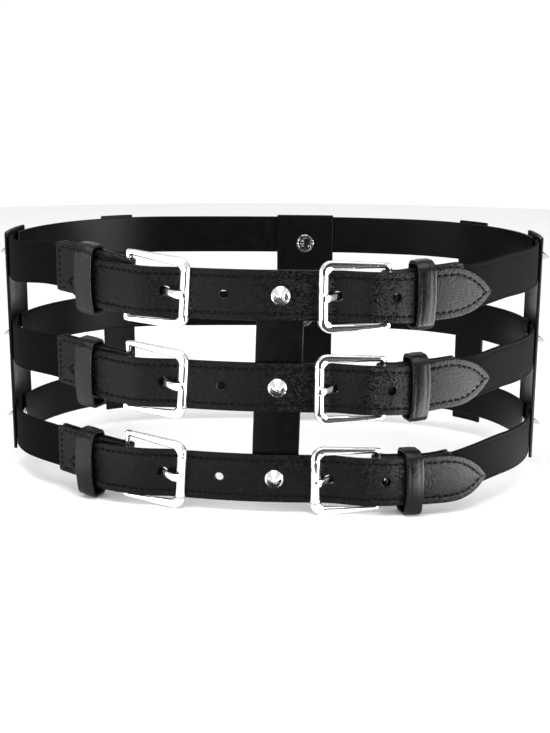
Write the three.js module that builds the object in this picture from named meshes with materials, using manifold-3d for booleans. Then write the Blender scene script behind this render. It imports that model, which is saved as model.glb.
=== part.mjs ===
// A harness belt: three rows of strap round the waist, held in line by six upright straps.
// Each row has elastic at its sides, a smooth band round its back, and in front one strap pointed at
// both ends, which two roller buckles hold. Millimetres, +Z up. The front faces -Y, and left and right
// are the viewer's.
import * as THREE from 'three';
import { mergeVertices } from 'three/addons/utils/BufferGeometryUtils.js';
import Module from 'manifold-3d';

const wasm = await Module();
wasm.setup();

// The loop in plan, in quarters from the front middle round by the right: the middle that a quarter
// starts from, its width and depth, and the radius of its corner. x and y say which way it lies.
const BACK_SHIFT = 9;
const QUARTERS = [
  { middle: 0, x: 1, y: -1, width: 134.5, depth: 77.5, corner: 74 },
  { middle: BACK_SHIFT, x: 1, y: 1, width: 125.5, depth: 88.5, corner: 84 },
  { middle: BACK_SHIFT, x: -1, y: 1, width: 157, depth: 88.5, corner: 84 },
  { middle: 0, x: -1, y: -1, width: 148, depth: 77.5, corner: 51 },
];

// Rows by their height at the sides, over the middle row, with the place of the front strap's right tip.
// lift is how far the elastic lifts the buckle strap on the left and on the right. The front strap's ends
// rise by themselves: the left one until a place, the right one to a height and then to its tip's.
const ROWS = [
  {
    name: 'top', level: 46, rightTip: 103.5, lift: [3.4, 2.2],
    rise: { left: 2.3, until: 95, right: 2, tip: 1.1 }, hang: 0,
  },
  {
    name: 'middle', level: 0, rightTip: 106.5, lift: [1.1, 1.6],
    rise: { left: 4, until: 125, right: 3, tip: 3.4 }, hang: 0,
  },
  {
    name: 'bottom', level: -47, rightTip: 108.4, lift: [0, 0],
    rise: { left: 0.6, until: 80, right: 0.5, tip: -1 }, hang: 0.8,
  },
];

// In front the weight of the buckles pulls the rows down, between two places on each side, and a little
// along for each mm of height, which ends at the elastic. Each lift has its own two slopes.
const SAG = { fall: 7, left: { from: 56, to: 140 }, right: { from: 71, to: 123 } };
const LEAN = { each: 0.03, from: 125, to: 165 };
const LIFT = {
  left: { from: 46, full: 100, leave: 120, to: 160 }, right: { from: 55, full: 72, leave: 80, to: 105 },
};

const GAP = 0.3;
const CUTTER_DEPTH = 16;
const BILLET = { width: 25, thick: 2.2, left: -112.5, tip: 24, blunt: 0.15, drop: 1.5 };
const BILLET_RISE = { left: 56, right: 62, rightEnd: 85 };
const CHAPE = { width: 25, thick: 1.6, slant: -11, slotEnd: -4.5, slotHalf: 2.7, turn: 100 };
const ELASTIC = { width: 22, thick: 1.6, inChape: 13 };
const BAND = { width: 21.5, thick: 1.6, inset: 5 };
const KEEPER = { thick: 1.5, room: 0.7, corner: 1.8, topCorner: 3.5, swell: 1.8, play: 2.6 };
const STUD = { radius: 4.7, height: 5.2, rim: 0.8, post: 1.4, cap: 4.4, capThick: 1.1 };
const RIVET = { radius: 5.3, crown: 3.2, dome: 1.8, rim: 0.8, below: 5 };

// Spacing of the sections: in mm on tips, ramps, folds, straps, bands and the level front, and in
// degrees round folds and corners. Then the sides of what is turned or drilled.
const STEPS = { tip: 3, ramp: 4, strap: 6, fold: 7, band: 9, level: 10, turn: 34, corner: 30 };
const TURNED_SIDES = 10;
const DRILL_SIDES = 8;

// Buckles: places along the row from the stud, toward is the way from the pivot to the stud, and the
// frame's pivot end sits raised above the strap's middle and flared a little. A keeper's back wall is at
// its place, its front wall leans along the row, and half is from its middle to its inner end. The hole
// that the tongue passes starts at a distance from the pivot, and climb is the tongue's way through it.
const SIDES = [
  {
    name: 'left', toward: 1, pivot: -77.6, raise: 2.2, flare: 1.2, hole: 18.2,
    climb: [{ along: 18.6, out: -0.8 }, { along: 23.2, out: 4.5 }, { along: 28.4, out: 7.9 }],
    keeper: { place: -97.9, lean: 0, half: 15.9, width: 9.4 }, tabEnd: -118, elasticEnd: -180.5,
  },
  {
    name: 'right', toward: -1, pivot: 51.8, raise: 0, flare: -0.7, hole: 21.8,
    climb: [{ along: 19, out: -1.2 }, { along: 22.6, out: -1.9 }, { along: 29.6, out: 7.95 }],
    keeper: { place: 66.3, lean: 2.2, half: 15.1, width: 8.2 }, tabEnd: 88, elasticEnd: 175.5,
  },
];
const FREE_HOLES = [-27.8, 55.4];
const FREE_HOLE_RADIUS = 2.2;
const USED_HOLE = 5;

// Buckle sizes along the frame from its pivot bar
const FRAME = {
  end: -1.5, barInner: 1.3, farBar: 31.7, rod: 1.2, farHalf: 2.6, thick: 3, bevel: 0.6,
  outerNear: 16.9, outerFar: 17.75, innerNear: 14.3, innerFar: 13.4, innerCorner: 2,
};
const ROLLER = { radius: 2.6, bore: 2, length: 22, sides: 12 };
const ROLLER_OUT = BILLET.thick / 2 + GAP + ROLLER.radius;
const PIVOT_BORE = 1.95;
const TONGUE = { width: 4.4, half: 1, ring: 3.3, arcs: 6 };
const TONGUE_ROOT = [{ along: 3, out: 0 }, { along: 14, out: -0.35 }];
const TONGUE_END = { along: 33.4, out: 7.95 };

// Upright straps: place along the row, width, the side of the rows they lie on, and how far their ends
// pass the edges of the top and bottom rows
const UPRIGHT_THICK = 1.8;
const UPRIGHTS = [
  { name: 'strap_front', place: 0, width: 23.5, side: 'inside', above: -1.5, below: -1.5 },
  { name: 'strap_side_right', place: 180.5, width: 35, side: 'outside', above: 2, below: 3 },
  { name: 'strap_back_right', place: 247, width: 19, side: 'outside', above: 1, below: 4 },
  { name: 'strap_back', place: 350.6, width: 34, side: 'inside', above: 1, below: 4 },
  { name: 'strap_back_left', place: 464.7, width: 19, side: 'outside', above: 1, below: 4 },
  { name: 'strap_side_left', place: 552.1, width: 35, side: 'outside', above: 2, below: 3 },
];

const leather = new THREE.MeshStandardMaterial({ color: 0x1b1b1c, roughness: 0.5 });
const elasticCloth = new THREE.MeshStandardMaterial({ color: 0x161617, roughness: 0.9 });
const smoothBand = new THREE.MeshStandardMaterial({ color: 0x202022, roughness: 0.4 });
const chrome = new THREE.MeshStandardMaterial({ color: 0xd8dade, roughness: 0.12, metalness: 1 });

// The loop: arcs that follow each other, each with its centre, radius, first angle and first place
function loopArcs() {
  const arcs = [];
  let angle = -Math.PI / 2;
  let start = 0;
  for (const { middle, x, y, width, depth, corner } of QUARTERS) {
    const broad = ((width - corner) ** 2 + depth ** 2 - corner ** 2) / (2 * (depth - corner));
    const turn = Math.atan2(width - corner, broad - depth);
    const pair = [
      { x: middle, y: y * (depth - broad), radius: broad, sweep: turn },
      { x: middle + x * (width - corner), y: 0, radius: corner, sweep: Math.PI / 2 - turn },
    ];
    if (x === y) pair.reverse();
    for (const arc of pair) {
      arcs.push({ ...arc, angle, start });
      angle += arc.sweep;
      start += arc.radius * arc.sweep;
    }
  }
  return { arcs, length: start };
}
const LOOP = loopArcs();
const UP = new THREE.Vector3(0, 0, 1);
const smooth = THREE.MathUtils.smoothstep;

// How far a row has risen at a place, from its lowest height in front
function rowRise(place, row) {
  const away = Math.abs(place);
  const [name, lift] = place < 0 ? ['left', row.lift[0]] : ['right', row.lift[1]];
  const { from, full, leave, to } = LIFT[name];
  const lifted = smooth(away, from, full) - smooth(away, leave, to);
  return SAG.fall * smooth(away, SAG[name].from, SAG[name].to) + lift * lifted;
}

// The front strap is stiff, so its ends rise less than the row
function billetRise(place, row) {
  const { left, until, right, tip } = row.rise;
  if (place < 0) return left * smooth(-place, BILLET_RISE.left, until);
  const { right: from, rightEnd } = BILLET_RISE;
  return right * smooth(place, from, rightEnd) + (tip - right) * smooth(place, rightEnd, row.rightTip);
}

// The buckles stay at the row's lowest height
function buckleRise() {
  return 0;
}

// The frame of a row at a place: its middle point, and unit vectors along, up and out
function rowFrame(place, row, rise = rowRise) {
  const turned = THREE.MathUtils.euclideanModulo(place, LOOP.length);
  const nearest = turned > LOOP.length / 2 ? turned - LOOP.length : turned;
  const lean = LEAN.each * row.level * (1 - smooth(Math.abs(nearest), LEAN.from, LEAN.to));
  const s = THREE.MathUtils.euclideanModulo(place + lean, LOOP.length);
  const arc = LOOP.arcs.findLast((one) => one.start <= s);
  const angle = arc.angle + (s - arc.start) / arc.radius;
  const out = new THREE.Vector3(Math.cos(angle), Math.sin(angle), 0);
  const along = new THREE.Vector3(-out.y, out.x, 0);
  const point = new THREE.Vector3(arc.x, arc.y, row.level - SAG.fall + rise(nearest, row));
  return { point: point.addScaledVector(out, arc.radius), along, up: UP.clone(), out };
}

function onRow(place, up, out, row, rise = rowRise) {
  const frame = rowFrame(place, row, rise);
  return frame.point.addScaledVector(frame.up, up).addScaledVector(frame.out, out);
}

// Vertices that should meet may differ in their last digit, which this takes away
function settle(value) {
  return Math.round(value * 1e4) / 1e4;
}

// Moves each vertex of a geometry with a function, and turns the faces round where that mirrors them
function reshape(geometry, move, mirrored = false) {
  const source = geometry.index ? geometry.toNonIndexed() : geometry;
  const positions = source.attributes.position;
  const moved = new THREE.BufferGeometry();
  const values = [];
  for (let i = 0; i < positions.count; i += 1) {
    const corner = mirrored && i % 3 > 0 ? i + (i % 3 === 1 ? 1 : -1) : i;
    const [x, y, z] = [positions.getX(corner), positions.getY(corner), positions.getZ(corner)].map(settle);
    values.push(...move(x, y, z).toArray());
  }
  moved.setAttribute('position', new THREE.Float32BufferAttribute(values, 3));
  const joined = mergeVertices(moved, 1e-4);
  const kept = [];
  for (let i = 0; i < joined.index.count; i += 3) {
    const face = [joined.index.getX(i), joined.index.getX(i + 1), joined.index.getX(i + 2)];
    if (new Set(face).size === 3) kept.push(...face);
  }
  joined.setIndex(kept);
  return joined;
}

function toManifold(geometry) {
  return new wasm.Manifold(new wasm.Mesh({
    numProp: 3,
    vertProperties: new Float32Array(geometry.attributes.position.array),
    triVerts: new Uint32Array(geometry.index.array),
  }));
}

function cut(geometry, cutters) {
  let body = toManifold(geometry);
  for (const cutter of cutters) body = body.subtract(toManifold(cutter));
  const mesh = body.getMesh();
  const result = new THREE.BufferGeometry();
  result.setAttribute('position', new THREE.Float32BufferAttribute(mesh.vertProperties, 3));
  result.setIndex(Array.from(mesh.triVerts));
  return result;
}

function spread(from, to, step) {
  const count = Math.max(1, Math.ceil(Math.abs(to - from) / step));
  return Array.from({ length: count + 1 }, (unused, i) => from + ((to - from) * i) / count);
}

// A flat strap along a row: half its width and its middle's distance out may change on the way
function rowStrap({ row, stations, half, out, thick, rise }) {
  const count = stations.length - 1;
  return reshape(new THREE.BoxGeometry(1, 2, 1, count, 1, 1), (x, y, z) => {
    const place = stations[Math.round((x + 0.5) * count)];
    return onRow(place, y * half(place), out(place) + z * thick, row, rise);
  });
}

// A rigid piece set on a row: x along, y up and z out from the place
function setOnRow(geometry, place, row, up = 0) {
  const { point, along, up: rise, out } = rowFrame(place, row);
  const turn = new THREE.Matrix4().makeBasis(along, rise, out);
  return reshape(geometry, (x, y, z) => new THREE.Vector3(x, y + up, z).applyMatrix4(turn).add(point));
}

// A round cutter through the layers of a row
function drill(radius, place, row, up = 0) {
  const tool = new THREE.CylinderGeometry(radius, radius, CUTTER_DEPTH, DRILL_SIDES).rotateX(Math.PI / 2);
  return setOnRow(tool, place, row, up);
}

// A buckle that is raised at its pivot lies askew: along it and across it become place and height
function askew(side, along, across) {
  const slope = side.raise / FRAME.farBar;
  return {
    place: side.pivot + side.toward * (along + slope * across),
    up: side.raise - slope * along + across,
  };
}

// The front strap of a row: over the elastic and the fold at the pivot, and down to the row in front
const LAYER = CHAPE.thick + ELASTIC.thick / 2 + 2 * GAP + BILLET.thick / 2;
const OVER_PIVOT = PIVOT_BORE + CHAPE.thick + GAP + BILLET.thick / 2;
const CLIMB = { foot: -14, top: -3 };
const DESCENT = { from: 5, to: 27 };

function billetOut(place) {
  const side = SIDES[place < 0 ? 0 : 1];
  const along = (place - side.pivot) * side.toward;
  const hump = LAYER + (OVER_PIVOT - LAYER) * smooth(along, CLIMB.foot, CLIMB.top);
  const pastTab = (side.tabEnd - place) * side.toward;
  return hump * (1 - smooth(along, DESCENT.from, DESCENT.to)) - BILLET.drop * smooth(pastTab, 0, BILLET.tip);
}

// Each end is an ogive, whose arcs leave the edges smoothly and meet in a blunt point
function ogive(fromTip) {
  const half = BILLET.width / 2;
  const radius = (BILLET.tip ** 2 + half ** 2) / (2 * half);
  const back = BILLET.tip - THREE.MathUtils.clamp(fromTip, BILLET.blunt, BILLET.tip);
  return half - radius + Math.sqrt(radius ** 2 - back ** 2);
}

function billet(row) {
  const [left, right] = [BILLET.left, row.rightTip];
  const ends = SIDES.map(({ pivot }) => pivot);
  const ramps = [ends[0] + DESCENT.to, ends[1] - DESCENT.to];
  const stations = [
    ...spread(left, left + BILLET.tip, STEPS.tip).slice(0, -1),
    ...spread(left + BILLET.tip, ends[0], STEPS.strap).slice(0, -1),
    ...spread(ends[0], ramps[0], STEPS.ramp).slice(0, -1),
    ...spread(ramps[0], ramps[1], STEPS.level).slice(0, -1),
    ...spread(ramps[1], ends[1], STEPS.ramp).slice(0, -1),
    ...spread(ends[1], right - BILLET.tip, STEPS.strap).slice(0, -1),
    ...spread(right - BILLET.tip, right, STEPS.tip),
  ];
  const half = (place) => ogive(Math.min(place - left, right - place));
  const body = rowStrap({ row, stations, half, out: billetOut, thick: BILLET.thick, rise: billetRise });
  const used = SIDES.map((side) => {
    const hole = new THREE.BoxGeometry(USED_HOLE, USED_HOLE, CUTTER_DEPTH);
    return inSide(hole.translate(side.hole + USED_HOLE / 2, 0, 0), side, row);
  });
  const holes = FREE_HOLES.map((place) => drill(FREE_HOLE_RADIUS, place, row));
  return cut(body, [...used, ...holes, drill(STUD.post + GAP, 0, row)]);
}

// A piece drawn along, across and out of a buckle, laid on the row as askew as the buckle is
function inSide(geometry, side, row) {
  return reshape(geometry, (along, across, out) => {
    const { place, up } = askew(side, along, across);
    return onRow(place, up, out, row, buckleRise);
  }, side.toward < 0);
}

// The buckle strap, folded round the pivot bar, whose slant it takes, and slotted for the tongue
function chape(side, row) {
  const back = -Math.abs(side.tabEnd - side.pivot);
  const layer = ELASTIC.thick / 2 + GAP + CHAPE.thick / 2;
  const bend = PIVOT_BORE + CHAPE.thick / 2;
  const straight = spread(back, CHAPE.slant, STEPS.fold);
  const turns = spread(CHAPE.turn, -CHAPE.turn, STEPS.turn).map(THREE.MathUtils.degToRad);
  const sections = [
    ...straight.map((x) => ({ x, y: layer, nx: 0, ny: 1 })),
    ...turns.map((t) => ({ x: bend * Math.cos(t), y: bend * Math.sin(t), nx: Math.cos(t), ny: Math.sin(t) })),
    ...straight.toReversed().map((x) => ({ x, y: -layer, nx: 0, ny: -1 })),
  ];
  const count = sections.length - 1;
  const box = new THREE.BoxGeometry(1, CHAPE.width, CHAPE.thick, count, 1, 1);
  const folded = reshape(box, (u, up, v) => {
    const { x, y, nx, ny } = sections[Math.round((u + 0.5) * count)];
    const straightPlace = side.pivot + side.toward * (x + nx * v);
    const slanted = askew(side, x + nx * v, up + rowRise(side.pivot, row) - side.raise).place;
    const place = THREE.MathUtils.lerp(straightPlace, slanted, smooth(x, CHAPE.slant, 0));
    return onRow(place, up, y + ny * v, row);
  }, side.toward < 0);
  const slotLength = bend + CHAPE.thick - CHAPE.slotEnd;
  const slot = new THREE.BoxGeometry(slotLength, 2 * CHAPE.slotHalf, CUTTER_DEPTH)
    .translate(CHAPE.slotEnd + slotLength / 2, 0, 0);
  return cut(folded, [inSide(slot, side, row)]);
}

// The rigid frame of a buckle: x from the pivot bar to the far bar, y up, z out
function buckleMatrix(side, row) {
  const pivot = onRow(side.pivot, side.raise, 0, row, buckleRise);
  const far = onRow(side.pivot + side.toward * FRAME.farBar, 0, ROLLER_OUT, row, buckleRise);
  const x = far.sub(pivot).normalize();
  const y = UP.clone().addScaledVector(x, -UP.dot(x)).normalize();
  const z = new THREE.Vector3().crossVectors(x, y);
  if (side.toward < 0) z.negate();
  return new THREE.Matrix4().makeBasis(x, y, z).setPosition(pivot);
}

function inBuckle(geometry, side, row) {
  const matrix = buckleMatrix(side, row);
  return reshape(geometry, (x, y, z) => new THREE.Vector3(x, y, z).applyMatrix4(matrix), side.toward < 0);
}

function buckleFrame(side, row) {
  const f = FRAME;
  const half = ROLLER.length / 2 + GAP;
  const far = f.farBar + f.farHalf;
  const near = f.farBar - f.farHalf;
  const corner = f.outerFar - half;
  const quarter = spread(0, 90, STEPS.corner).map(THREE.MathUtils.degToRad);
  const bend = quarter.map((t) => [far - corner + corner * Math.cos(t), half + corner * Math.sin(t)]);
  const outline = [[f.farBar + f.rod, half], ...bend, [f.end, f.outerNear + side.flare]];
  const outer = new THREE.Shape([
    ...outline, ...outline.toReversed().map(([x, y]) => [x, -y]),
  ].map(([x, y]) => new THREE.Vector2(x, y)));
  const inner = new THREE.Path([
    [f.barInner, -f.innerNear - side.flare], [f.barInner, f.innerNear + side.flare],
    [near - f.innerCorner, f.innerFar], [near, half], [f.farBar - f.rod, half],
    [f.farBar - f.rod, -half], [near, -half], [near - f.innerCorner, -f.innerFar],
  ].map(([x, y]) => new THREE.Vector2(x, y)));
  outer.holes.push(inner);
  const plate = new THREE.ExtrudeGeometry(outer, {
    depth: f.thick - 2 * f.bevel,
    bevelThickness: f.bevel,
    bevelSize: f.bevel,
    bevelOffset: -f.bevel,
    bevelSegments: 1,
  }).translate(0, 0, f.bevel - f.thick / 2);
  return inBuckle(plate, side, row);
}

function roller(side, row) {
  const end = ROLLER.length / 2;
  const wall = [
    [ROLLER.bore, -end], [ROLLER.radius, -end], [ROLLER.radius, end], [ROLLER.bore, end], [ROLLER.bore, -end],
  ].map(([r, y]) => new THREE.Vector2(r, y));
  const tube = new THREE.LatheGeometry(wall, ROLLER.sides).translate(FRAME.farBar, 0, 0);
  return inBuckle(tube, side, row);
}

// The tongue: a ring round the pivot bar, and a prong under the strap, up its hole and on to the roller
function tongue(side, row) {
  const root = Math.asin(TONGUE.half / TONGUE.ring);
  const path = [...TONGUE_ROOT, ...side.climb, TONGUE_END];
  const points = path.map(({ along, out }) => new THREE.Vector2(along, out));
  const edge = (sign) => points.slice(1).map((point, i) => {
    const before = point.clone().sub(points[i]).normalize();
    const after = i + 2 < points.length ? points[i + 2].clone().sub(point).normalize() : before;
    const mean = before.clone().add(after).normalize();
    const normal = new THREE.Vector2(-mean.y, mean.x);
    return point.clone().addScaledVector(normal, (sign * TONGUE.half) / mean.dot(before));
  });
  const outline = new THREE.Shape();
  outline.absarc(0, 0, TONGUE.ring, root, 2 * Math.PI - root, false);
  for (const point of edge(-1)) outline.lineTo(point.x, point.y);
  for (const point of edge(1).reverse()) outline.lineTo(point.x, point.y);
  const bore = new THREE.Path();
  bore.absarc(0, 0, PIVOT_BORE, 0, 2 * Math.PI, true);
  outline.holes.push(bore);
  const flat = new THREE.ExtrudeGeometry(outline, {
    depth: TONGUE.width, curveSegments: TONGUE.arcs, bevelEnabled: false,
  });
  return inSide(flat.rotateX(Math.PI / 2).translate(0, TONGUE.width / 2, 0), side, row);
}

// A keeper's wall in section, up and out of the row, at a distance from its inner face: a box with
// rounded corners, whose front swells in its middle
function keeperContour(half, under, over, offset) {
  const { corner, topCorner, swell } = KEEPER;
  const corners = [
    { up: 1, face: over, radius: topCorner, from: 0 }, { up: -1, face: over, radius: corner, from: 90 },
    { up: -1, face: under, radius: corner, from: 180 }, { up: 1, face: under, radius: corner, from: 270 },
  ];
  const points = corners.flatMap(({ up, face, radius, from }, i) => {
    const inward = face === over ? -radius : radius;
    const reach = radius + offset;
    const arc = spread(from, from + 90, STEPS.corner).map(THREE.MathUtils.degToRad).map((t) => [
      up * (half - radius) + reach * Math.cos(t), face + inward + reach * Math.sin(t),
    ]);
    const wall = spread(half - topCorner, corner - half, STEPS.fold).slice(1, -1);
    return i === 0 ? [...arc, ...wall.map((x) => [x, over + offset])] : arc;
  });
  return points.map(([x, y]) => {
    const share = THREE.MathUtils.clamp((y - under) / (over - under), 0, 1);
    return new THREE.Vector2(x, y + swell * share * Math.max(0, 1 - (x / half) ** 2));
  });
}

// A left keeper hangs from the buckle strap's upper edge, and a right one is held between the straps
function keeperRise(place, row) {
  const [under, front] = [rowRise(place, row), billetRise(place, row)];
  if (place < 0) return Math.min(under - KEEPER.play, front + KEEPER.play);
  return (under + front) / 2 - row.hang;
}

function keeper(side, row) {
  const { place, lean, half, width } = side.keeper;
  const { thick, room } = KEEPER;
  const under = -(ELASTIC.thick / 2 + GAP + CHAPE.thick + room);
  const over = LAYER + BILLET.thick / 2 + room;
  const shape = new THREE.Shape(keeperContour(half, under, over, thick));
  shape.holes.push(new THREE.Path(keeperContour(half, under, over, 0)));
  const band = new THREE.ExtrudeGeometry(shape, { depth: width, bevelEnabled: false });
  return reshape(band, (x, y, z) => {
    const leant = place + z - width / 2 + (lean * (y - under)) / (over - under);
    return onRow(leant, x, y, row, keeperRise);
  });
}

function elastic(side, row) {
  const inside = side.tabEnd + side.toward * ELASTIC.inChape;
  return rowStrap({
    row,
    stations: spread(...[side.elasticEnd, inside].sort((a, b) => a - b), STEPS.strap),
    half: () => ELASTIC.width / 2,
    out: () => 0,
    thick: ELASTIC.thick,
  });
}

function backBand(row) {
  const ends = UPRIGHTS.filter(({ name }) => name.startsWith('strap_side')).map(({ place }) => place);
  const body = rowStrap({
    row,
    stations: spread(ends[0] + BAND.inset, ends[1] - BAND.inset, STEPS.band),
    half: () => BAND.width / 2,
    out: () => 0,
    thick: BAND.thick,
  });
  return cut(body, [drill(STUD.post + GAP, RIVET_PLACE, row, -RIVET.below)]);
}

// An upright strap, with a hole for the post at each row where it has studs or rivets
const RIVET_PLACE = UPRIGHTS.find(({ name }) => name === 'strap_back').place;

function uprightStrap({ name, place, width, side, above, below }) {
  const strap = name === 'strap_front' ? BILLET : ELASTIC;
  const middle = (strap.thick / 2 + GAP + UPRIGHT_THICK / 2) * (side === 'inside' ? -1 : 1);
  const ends = [ROWS[2].level - strap.width / 2 - below, ROWS[0].level + strap.width / 2 + above];
  const [low, high] = ends.map((level) => ({ level, lift: [0, 0] }));
  const stations = spread(place - width / 2, place + width / 2, STEPS.band);
  const count = stations.length - 1;
  const body = reshape(new THREE.BoxGeometry(1, 1, 1, count, 1, 1), (x, y, z) => (
    onRow(stations[Math.round((x + 0.5) * count)], 0, middle + z * UPRIGHT_THICK, y > 0 ? high : low)
  ));
  if (name === 'strap_back_left' || name === 'strap_back_right') return body;
  const up = name === 'strap_back' ? -RIVET.below : 0;
  return cut(body, ROWS.map((row) => drill(STUD.post + GAP, place, row, up)));
}

// A stud or rivet turned about its post: head outside, cap inside, between two distances out
function turned(head, post, cap) {
  const profile = [...head, ...post, ...cap].map(([r, y]) => new THREE.Vector2(r, y));
  return new THREE.LatheGeometry(profile.reverse(), TURNED_SIDES).rotateX(Math.PI / 2);
}

function stud(place, row, inner, outer) {
  const head = [[0, outer + STUD.rim + STUD.height], [STUD.radius, outer + STUD.rim], [STUD.radius, outer]];
  const post = [[STUD.post, outer], [STUD.post, inner]];
  const cap = [[STUD.cap, inner], [STUD.cap, inner - STUD.capThick / 2], [0, inner - STUD.capThick]];
  return setOnRow(turned(head, post, cap), place, row);
}

function rivet(row, inner, outer) {
  const head = [[0, outer + RIVET.rim], [STUD.cap, outer + RIVET.rim / 2], [STUD.cap, outer]];
  const post = [[STUD.post, outer], [STUD.post, inner]];
  const cap = [
    [RIVET.radius, inner], [RIVET.radius, inner - RIVET.rim],
    [RIVET.crown, inner - RIVET.dome], [0, inner - RIVET.dome - RIVET.rim / 2],
  ];
  return setOnRow(turned(head, post, cap), RIVET_PLACE, row, -RIVET.below);
}

const belt = new THREE.Group();

function add(name, geometry, material) {
  const mesh = new THREE.Mesh(geometry, material);
  mesh.name = name;
  belt.add(mesh);
}

for (const row of ROWS) {
  add(`billet_${row.name}`, billet(row), leather);
  add(`back_band_${row.name}`, backBand(row), smoothBand);
  for (const side of SIDES) {
    const tail = `${row.name}_${side.name}`;
    add(`elastic_${tail}`, elastic(side, row), elasticCloth);
    add(`chape_${tail}`, chape(side, row), leather);
    add(`keeper_${tail}`, keeper(side, row), leather);
    add(`buckle_frame_${tail}`, buckleFrame(side, row), chrome);
    add(`roller_${tail}`, roller(side, row), chrome);
    add(`tongue_${tail}`, tongue(side, row), chrome);
  }
  const frontInner = -(BILLET.thick / 2 + UPRIGHT_THICK + 2 * GAP);
  add(`stud_${row.name}_front`, stud(0, row, frontInner, BILLET.thick / 2 + GAP), chrome);
  const layerFace = BAND.thick / 2 + GAP;
  const strapFace = layerFace + UPRIGHT_THICK + GAP;
  add(`stud_${row.name}_right`, stud(UPRIGHTS[1].place, row, -layerFace, strapFace), chrome);
  add(`stud_${row.name}_left`, stud(UPRIGHTS[5].place, row, -layerFace, strapFace), chrome);
  add(`rivet_${row.name}`, rivet(row, -strapFace, layerFace), chrome);
}
for (const upright of UPRIGHTS) add(upright.name, uprightStrap(upright), leather);

// The belt stands on its lowest point, with the middle of its outer box over the origin
const box = new THREE.Box3().setFromObject(belt);
const middle = box.getCenter(new THREE.Vector3());
belt.position.set(-middle.x, -middle.y, -box.min.z);

export default belt;
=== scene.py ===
import bmesh
import bpy
import numpy as np
from mathutils import Matrix, Vector


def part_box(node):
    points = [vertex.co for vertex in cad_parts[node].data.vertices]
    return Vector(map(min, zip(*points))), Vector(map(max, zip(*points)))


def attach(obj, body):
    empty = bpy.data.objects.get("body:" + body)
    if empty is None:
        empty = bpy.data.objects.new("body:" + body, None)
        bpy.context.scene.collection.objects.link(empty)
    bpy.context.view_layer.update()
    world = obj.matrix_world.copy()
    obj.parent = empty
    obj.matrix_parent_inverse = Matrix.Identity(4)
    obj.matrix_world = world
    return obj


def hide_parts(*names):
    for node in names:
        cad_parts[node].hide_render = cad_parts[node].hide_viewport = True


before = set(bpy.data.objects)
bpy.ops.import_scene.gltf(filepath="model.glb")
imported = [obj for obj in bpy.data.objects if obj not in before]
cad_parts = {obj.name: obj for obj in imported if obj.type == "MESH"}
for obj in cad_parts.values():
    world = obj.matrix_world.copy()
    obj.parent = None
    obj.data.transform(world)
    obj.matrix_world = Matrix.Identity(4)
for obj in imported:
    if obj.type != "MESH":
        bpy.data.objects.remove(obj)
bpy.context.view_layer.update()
MM = 0.001

# The loop in plan, in quarters from the front middle round by the right, as in the part's source
BACK_SHIFT = 9
QUARTERS = [
    {"middle": 0, "x": 1, "y": -1, "width": 134.5, "depth": 77.5, "corner": 74},
    {"middle": BACK_SHIFT, "x": 1, "y": 1, "width": 125.5, "depth": 88.5, "corner": 84},
    {"middle": BACK_SHIFT, "x": -1, "y": 1, "width": 157, "depth": 88.5, "corner": 84},
    {"middle": 0, "x": -1, "y": -1, "width": 148, "depth": 77.5, "corner": 51},
]
ROWS = [
    {"name": "top", "level": 46, "right_tip": 103.5, "lift": (3.4, 2.2), "left": (2.3, 95),
     "right": (2, 1.1), "hang": 0},
    {"name": "middle", "level": 0, "right_tip": 106.5, "lift": (1.1, 1.6), "left": (4, 125),
     "right": (3, 3.4), "hang": 0},
    {"name": "bottom", "level": -47, "right_tip": 108.4, "lift": (0, 0), "left": (0.6, 80),
     "right": (0.5, -1), "hang": 0.8},
]
FALL, SAG_LEFT, SAG_RIGHT = 7, (56, 140), (71, 123)
LEAN_EACH, LEAN_FROM, LEAN_TO = 0.03, 125, 165
LIFT_LEFT, LIFT_RIGHT = (46, 100, 120, 160), (55, 72, 80, 105)
RISE_LEFT, RISE_RIGHT, RISE_RIGHT_END = 56, 62, 85

GAP = 0.3
BILLET = {"width": 25, "thick": 2.2, "left": -112.5, "tip": 24, "drop": 1.5}
CHAPE = {"width": 25, "thick": 1.6, "slant": -11, "slot_end": -4.5, "slot_half": 2.7, "turn": 100}
ELASTIC = {"width": 22, "thick": 1.6, "in_chape": 13}
BAND = {"width": 21.5, "thick": 1.6, "inset": 5}
KEEPER = {"thick": 1.5, "room": 0.7, "corner": 1.8, "top_corner": 3.5, "swell": 1.8, "play": 2.6}
STUD = {"radius": 4.7, "height": 5.2, "rim": 0.8, "post": 1.4, "cap": 4.4, "cap_thick": 1.1}
RIVET = {"radius": 5.3, "dome": 1.8, "rim": 0.8, "below": 5}
SIDES = [
    {"name": "left", "toward": 1, "pivot": -77.6, "raise": 2.2, "flare": 1.2, "hole": 18.2,
     "climb": [(18.6, -0.8), (23.2, 4.5), (28.4, 7.9)], "keeper": -97.9, "lean": 0,
     "keeper_half": 15.9, "keeper_width": 9.4, "tab_end": -118, "elastic_end": -180.5},
    {"name": "right", "toward": -1, "pivot": 51.8, "raise": 0, "flare": -0.7, "hole": 21.8,
     "climb": [(19, -1.2), (22.6, -1.9), (29.6, 7.95)], "keeper": 66.3, "lean": 2.2,
     "keeper_half": 15.1, "keeper_width": 8.2, "tab_end": 88, "elastic_end": 175.5},
]
FREE_HOLES, FREE_HOLE_RADIUS = (-27.8, 55.4), 2.2
USED_HOLE = 5
FRAME = {"end": -1.5, "bar_inner": 1.3, "far_bar": 31.7, "rod": 1.2, "far_half": 2.6, "thick": 3,
         "outer_near": 16.9, "outer_far": 17.75, "inner_near": 14.3, "inner_far": 13.4, "inner_corner": 2}
ROLLER = {"radius": 2.6, "bore": 2, "length": 22}
ROLLER_OUT = BILLET["thick"] / 2 + GAP + ROLLER["radius"]
PIVOT_BORE = 1.95
TONGUE = {"width": 4.4, "half": 1, "ring": 3.3}
TONGUE_ROOT, TONGUE_END = [(3, 0), (14, -0.35)], [(33.4, 7.95)]
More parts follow.
